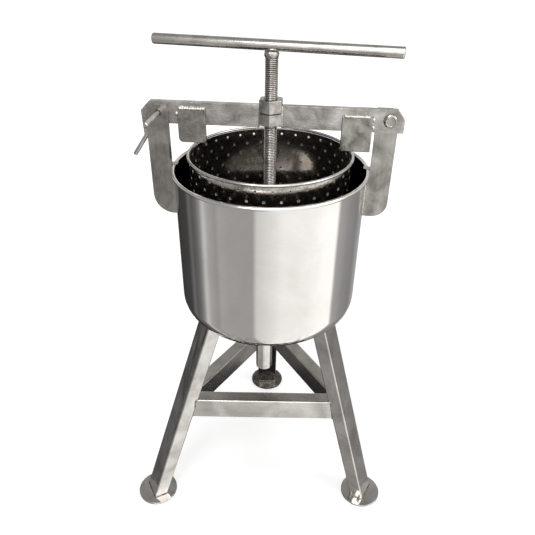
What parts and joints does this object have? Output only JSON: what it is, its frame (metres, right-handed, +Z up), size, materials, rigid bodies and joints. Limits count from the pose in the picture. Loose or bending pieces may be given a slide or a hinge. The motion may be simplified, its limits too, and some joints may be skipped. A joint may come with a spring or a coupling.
{
  "type": "cheese press",
  "caption": "Screw cheese press: a pot with a perforated basket on a tripod of welded tube, under a swing-over beam with a T-handled screw and a hitch pin.",
  "frame": {"origin": "on the floor, in the middle of the whole press's plan", "axes": "+Z up, -Y towards the front, +X to the right of someone facing the front"},
  "size_m": [0.5736, 0.487, 0.9828],
  "materials": {
    "polished_steel": "stainless steel, polished close to a mirror",
    "satin_steel": "stainless steel, satin, with grinding marks by the welds",
    "dull_steel": "stainless steel as machined, a little grey from handling"
  },
  "bodies": {
    "stand": {"outer_pot": "polished_steel", "drain_spout": "polished_steel", "leg_front_left": "satin_steel", "leg_front_right": "satin_steel", "leg_back": "satin_steel", "foot_plate_front_left": "satin_steel", "foot_plate_front_right": "satin_steel", "foot_plate_back": "satin_steel", "rail_front": "satin_steel", "rail_left": "satin_steel", "rail_right": "satin_steel", "upright_left": "satin_steel", "upright_right": "satin_steel", "pivot_bolt": "polished_steel", "pivot_washer": "polished_steel", "pivot_nut": "polished_steel"},
    "beam": {"beam_left": "satin_steel", "beam_right": "satin_steel", "screw_nut_lower": "dull_steel", "screw_nut_upper": "dull_steel", "stop_tab_left": "satin_steel", "stop_tab_right": "satin_steel"},
    "foot": {"press_foot": "satin_steel", "foot_grub_screw": "dull_steel"},
    "screw": {"press_screw": "dull_steel", "handle_bar": "satin_steel", "handle_boss": "dull_steel"},
    "pin": {"hitch_pin": "polished_steel"},
    "basket_body": {"basket": "satin_steel"},
    "follower": {"follower_plate": "satin_steel"}
  },
  "joints": [
    {"name": "beam_swing", "type": "hinge", "parent": "stand", "child": "beam", "pos_m": [0.21389, -0.08355, 0.8617], "axis": [0.0988, 0.9951, 0], "range_deg": [0, 150]},
    {"name": "press_travel", "type": "slide", "parent": "beam", "child": "foot", "axis": [0, 0, 1], "range_m": [-0.0605, 0.1385]},
    {"name": "screw_turn", "type": "hinge", "parent": "foot", "child": "screw", "pos_m": [0.01198, -0.0635, 0.8], "axis": [0, 0, 1], "range_deg": [-7155, 16515]},
    {"name": "pin_draw", "type": "slide", "parent": "stand", "child": "pin", "axis": [0.0988, 0.9951, 0], "range_m": [0, 0.13]},
    {"name": "basket_lift", "type": "slide", "parent": "stand", "child": "basket_body", "axis": [0, 0, 1], "range_m": [0, 0.009]},
    {"name": "follower_lift", "type": "slide", "parent": "basket_body", "child": "follower", "axis": [0, 0, 1], "range_m": [0, 0.115]}
  ],
  "couplings": [
    {"joint": "press_travel", "follows": "screw_turn", "m_per_rad": 0.00047746}
  ]
}
